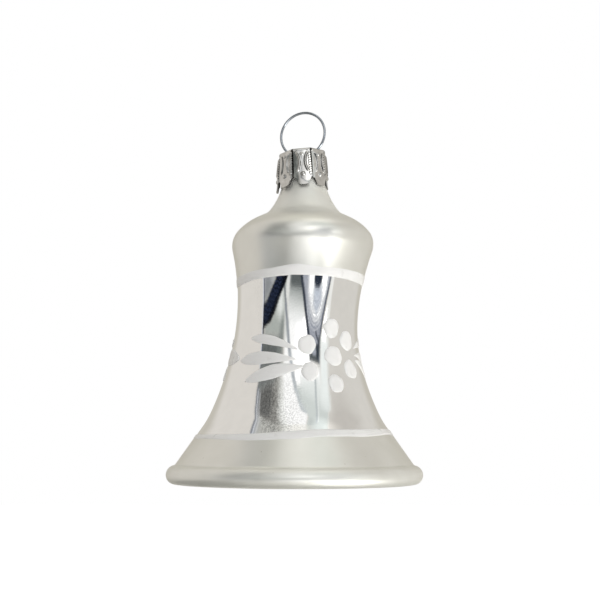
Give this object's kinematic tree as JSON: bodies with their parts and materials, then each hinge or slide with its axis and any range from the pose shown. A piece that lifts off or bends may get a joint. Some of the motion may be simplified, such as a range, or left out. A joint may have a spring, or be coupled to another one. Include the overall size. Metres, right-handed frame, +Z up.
{
  "type": "christmas bell ornament",
  "caption": "Hanging bell ornament of silvered blown glass with a rolled lip, painted bands and berry sprays, a pressed crown cap, a wire loop and a clapper on a link.",
  "frame": {"origin": "on the bell's axis, in the plane that its rolled lip stands on", "axes": "+Z up along the bell's axis to the wire loop, -Y towards the front, where one painted spray is right of the middle"},
  "size_m": [0.054, 0.054, 0.0819],
  "materials": {
    "silvered_glass": "clear blown glass, silvered on its inner side, mirror bright",
    "matt_lacquer": "silver grey satin lacquer over silvered glass",
    "white_enamel": "thick white enamel, semi-gloss, brushed on by hand",
    "pressed_tinplate": "bright pressed tinplate with embossed petals",
    "spring_wire": "drawn spring steel wire, bright",
    "clapper_steel": "bright drawn wire",
    "clapper_glass": "silvered glass bead"
  },
  "bodies": {
    "bell": {"glass_bell": "silvered_glass", "matt_coat_upper": "matt_lacquer", "matt_coat_lower": "matt_lacquer", "white_band_upper": "white_enamel", "white_band_lower": "white_enamel", "painted_berries": "white_enamel", "painted_leaves": "white_enamel", "clapper_eye": "clapper_steel"},
    "cap": {"crown_cap": "pressed_tinplate"},
    "hanger": {"hanger_wire": "spring_wire"},
    "link": {"clapper_link": "clapper_steel"},
    "clapper": {"clapper_wire": "clapper_steel", "clapper_bead": "clapper_glass"}
  },
  "joints": [
    {"name": "cap_lift", "type": "slide", "parent": "bell", "child": "cap", "axis": [0, 0, 1], "range_m": [0, 0.022]},
    {"name": "hanger_rock", "type": "hinge", "parent": "cap", "child": "hanger", "pos_m": [-0.00021, 0, 0.07178], "axis": [0.9481, -0.309, 0.0746], "range_deg": [-15, 15]},
    {"name": "link_swing", "type": "hinge", "parent": "bell", "child": "link", "pos_m": [0, 0, 0.024], "axis": [1, 0, 0], "range_deg": [-25, 25]},
    {"name": "clapper_swing", "type": "hinge", "parent": "link", "child": "clapper", "pos_m": [0, 0, 0.02115], "axis": [0, 1, 0], "range_deg": [-38, 38]}
  ]
}
